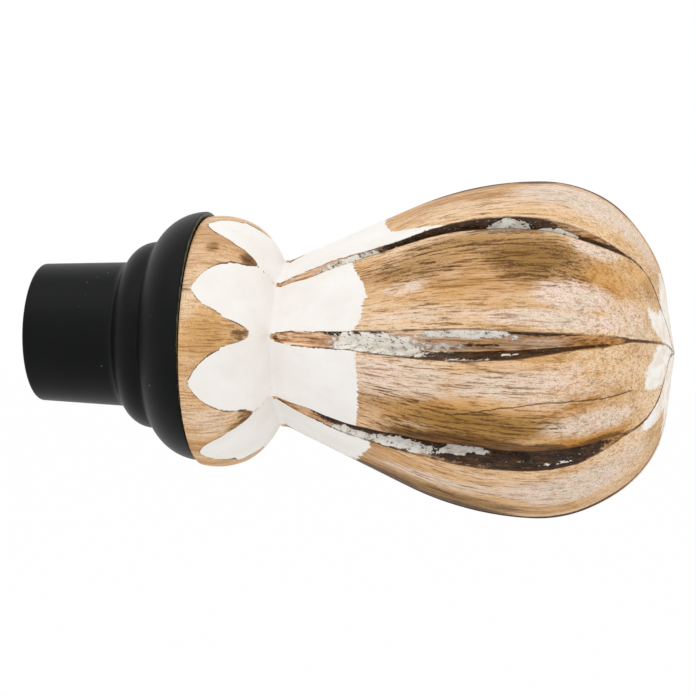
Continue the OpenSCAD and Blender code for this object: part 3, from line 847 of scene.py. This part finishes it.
def collar_shell():
    """The spun collar with the grub screw's hole cut through its tube."""
    bm = spun(COLLAR, 224, closed=True)
    worn = bm.verts.layers.float.new("worn")
    for vert in bm.verts:
        r, x = math.hypot(vert.co.y, vert.co.z) / MM, vert.co.x / MM
        vert[worn] = 0.72 * float(eased(-math.hypot(r - RIM[0], x - RIM[1]), -0.9, -0.25))
    shell = finished_piece(bm, "collar_shell", black_finish(), "black_coat", "collar")
    cutter = bmesh.new()
    hole_r = GRUB_HOLE_R * MM
    bmesh.ops.create_cone(cutter, cap_ends=True, segments=48, radius1=hole_r, radius2=hole_r,
                          depth=8 * MM, matrix=Matrix.Translation((GRUB_AT * MM, 15 * MM, 0))
                          @ Matrix.Rotation(math.pi / 2, 4, "X"))
    mesh = bpy.data.meshes.new("grub_hole")
    cutter.to_mesh(mesh)
    cutter.free()
    drill = bpy.data.objects.new("grub_hole", mesh)
    bpy.context.scene.collection.objects.link(drill)
    cut = shell.modifiers.new("grub_hole", "BOOLEAN")
    cut.object, cut.operation, cut.solver = drill, "DIFFERENCE", "EXACT"
    shape = bpy.context.evaluated_depsgraph_get()
    bored = bpy.data.meshes.new_from_object(shell.evaluated_get(shape))
    shell.modifiers.clear()
    shell.data = bored
    bpy.data.objects.remove(drill)
    return shell


finished_piece(carved_wood(), "carved_wood", wood_finish(), "carved_wood", "carved_bulb")
collar_shell()
plated = steel_finish("plated_screw_finish", (0.6, 0.61, 0.63, 1), 0.3, *WOOD_THREAD)
blackened = steel_finish("dark_screw_finish", (0.09, 0.095, 0.1, 1), 0.4, *GRUB_THREAD)
for node, finish in (("fixing_screw", plated), ("grub_screw", blackened)):
    for slot_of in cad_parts[node].material_slots:
        slot_of.material = finish


# Stage, light and camera

def softbox(name, at, aim, size, power):
    """A square area lamp that points at a place."""
    light = bpy.data.lights.new(name, "AREA")
    light.shape, light.size, light.energy = "SQUARE", size, power
    lamp = bpy.data.objects.new(name, light)
    lamp.location = at
    lamp.rotation_euler = (Vector(aim) - Vector(at)).to_track_quat("-Z", "Y").to_euler()
    bpy.context.scene.collection.objects.link(lamp)
    return lamp


def seen_white(tree):
    """1 for rays from the camera, from gloss and through clear things."""
    path = tree.nodes.new("ShaderNodeLightPath")
    total = path.outputs["Is Camera Ray"]
    for name in ("Is Glossy Ray", "Is Transmission Ray"):
        most = tree.nodes.new("ShaderNodeMath")
        most.operation = "MAXIMUM"
        tree.links.new(total, most.inputs[0])
        tree.links.new(path.outputs[name], most.inputs[1])
        total = most.outputs[0]
    return total


def backdrop():
    """White to look at, and a softer light on the object."""
    world = bpy.data.worlds.new("studio")
    bpy.context.scene.world = world
    world.use_nodes = True
    tree = world.node_tree
    light = tree.nodes["Background"]
    light.inputs["Color"].default_value = (1, 1, 1, 1)
    light.inputs["Strength"].default_value = 0.95
    white = tree.nodes.new("ShaderNodeBackground")
    white.inputs["Color"].default_value = (1, 1, 1, 1)
    white.inputs["Strength"].default_value = 1
    mix = tree.nodes.new("ShaderNodeMixShader")
    tree.links.new(seen_white(tree), mix.inputs[0])
    tree.links.new(light.outputs[0], mix.inputs[1])
    tree.links.new(white.outputs[0], mix.inputs[2])
    tree.links.new(mix.outputs[0], tree.nodes["World Output"].inputs["Surface"])


def floor():
    """A pale floor that shows as white and keeps a soft shadow."""
    bm = bmesh.new()
    bmesh.ops.create_grid(bm, x_segments=1, y_segments=1, size=6,
                          matrix=Matrix.Translation((0.067, 0, -0.13)))
    mesh = bpy.data.meshes.new("floor")
    bm.to_mesh(mesh)
    bm.free()
    plane = bpy.data.objects.new("floor", mesh)
    bpy.context.scene.collection.objects.link(plane)
    material = bpy.data.materials.new("floor_white")
    material.use_nodes = True
    tree = material.node_tree
    shader = tree.nodes["Principled BSDF"]
    shader.inputs["Base Color"].default_value = (0.86, 0.86, 0.86, 1)
    shader.inputs["Roughness"].default_value = 0.9
    glow = tree.nodes.new("ShaderNodeEmission")
    glow.inputs["Strength"].default_value = 1
    share = tree.nodes.new("ShaderNodeMath")
    share.operation = "MULTIPLY"
    share.inputs[1].default_value = 0.965
    tree.links.new(seen_white(tree), share.inputs[0])
    mix = tree.nodes.new("ShaderNodeMixShader")
    tree.links.new(share.outputs[0], mix.inputs[0])
    tree.links.new(shader.outputs[0], mix.inputs[1])
    tree.links.new(glow.outputs[0], mix.inputs[2])
    tree.links.new(mix.outputs[0], tree.nodes["Material Output"].inputs["Surface"])
    mesh.materials.append(material)


def camera():
    """The photograph's view: nearly level, a little towards the tip, and slightly rolled."""
    frame_px, focal_px = 696, 1600
    yaw, roll, distance = 0.1459085, 0.0274518, 0.339749
    aim = Vector((0.0669403, 0, -0.0017085))
    back = Vector((math.sin(yaw), -math.cos(yaw), 0))
    level, up = Vector((math.cos(yaw), math.sin(yaw), 0)), Vector((0, 0, 1))
    right = math.cos(roll) * level + math.sin(roll) * up
    above = -math.sin(roll) * level + math.cos(roll) * up
    data = bpy.data.cameras.new("camera")
    data.sensor_width = 36
    data.lens = data.sensor_width * focal_px / frame_px
    data.clip_start, data.clip_end = 0.01, 20
    cam = bpy.data.objects.new("camera", data)
    turn = Matrix((right, above, back)).transposed().to_4x4()
    cam.matrix_world = Matrix.Translation(aim + back * distance) @ turn
    bpy.context.scene.collection.objects.link(cam)
    bpy.context.scene.camera = cam


backdrop()
floor()
softbox("key", (-0.25, -0.55, 0.75), (0.07, 0, 0), 0.7, 1.4)
softbox("fill", (0.75, -0.25, 0.15), (0.07, 0, 0), 0.5, 0.5)
camera()
bpy.context.scene.view_settings.view_transform = "Standard"

bpy.context.view_layer.update()
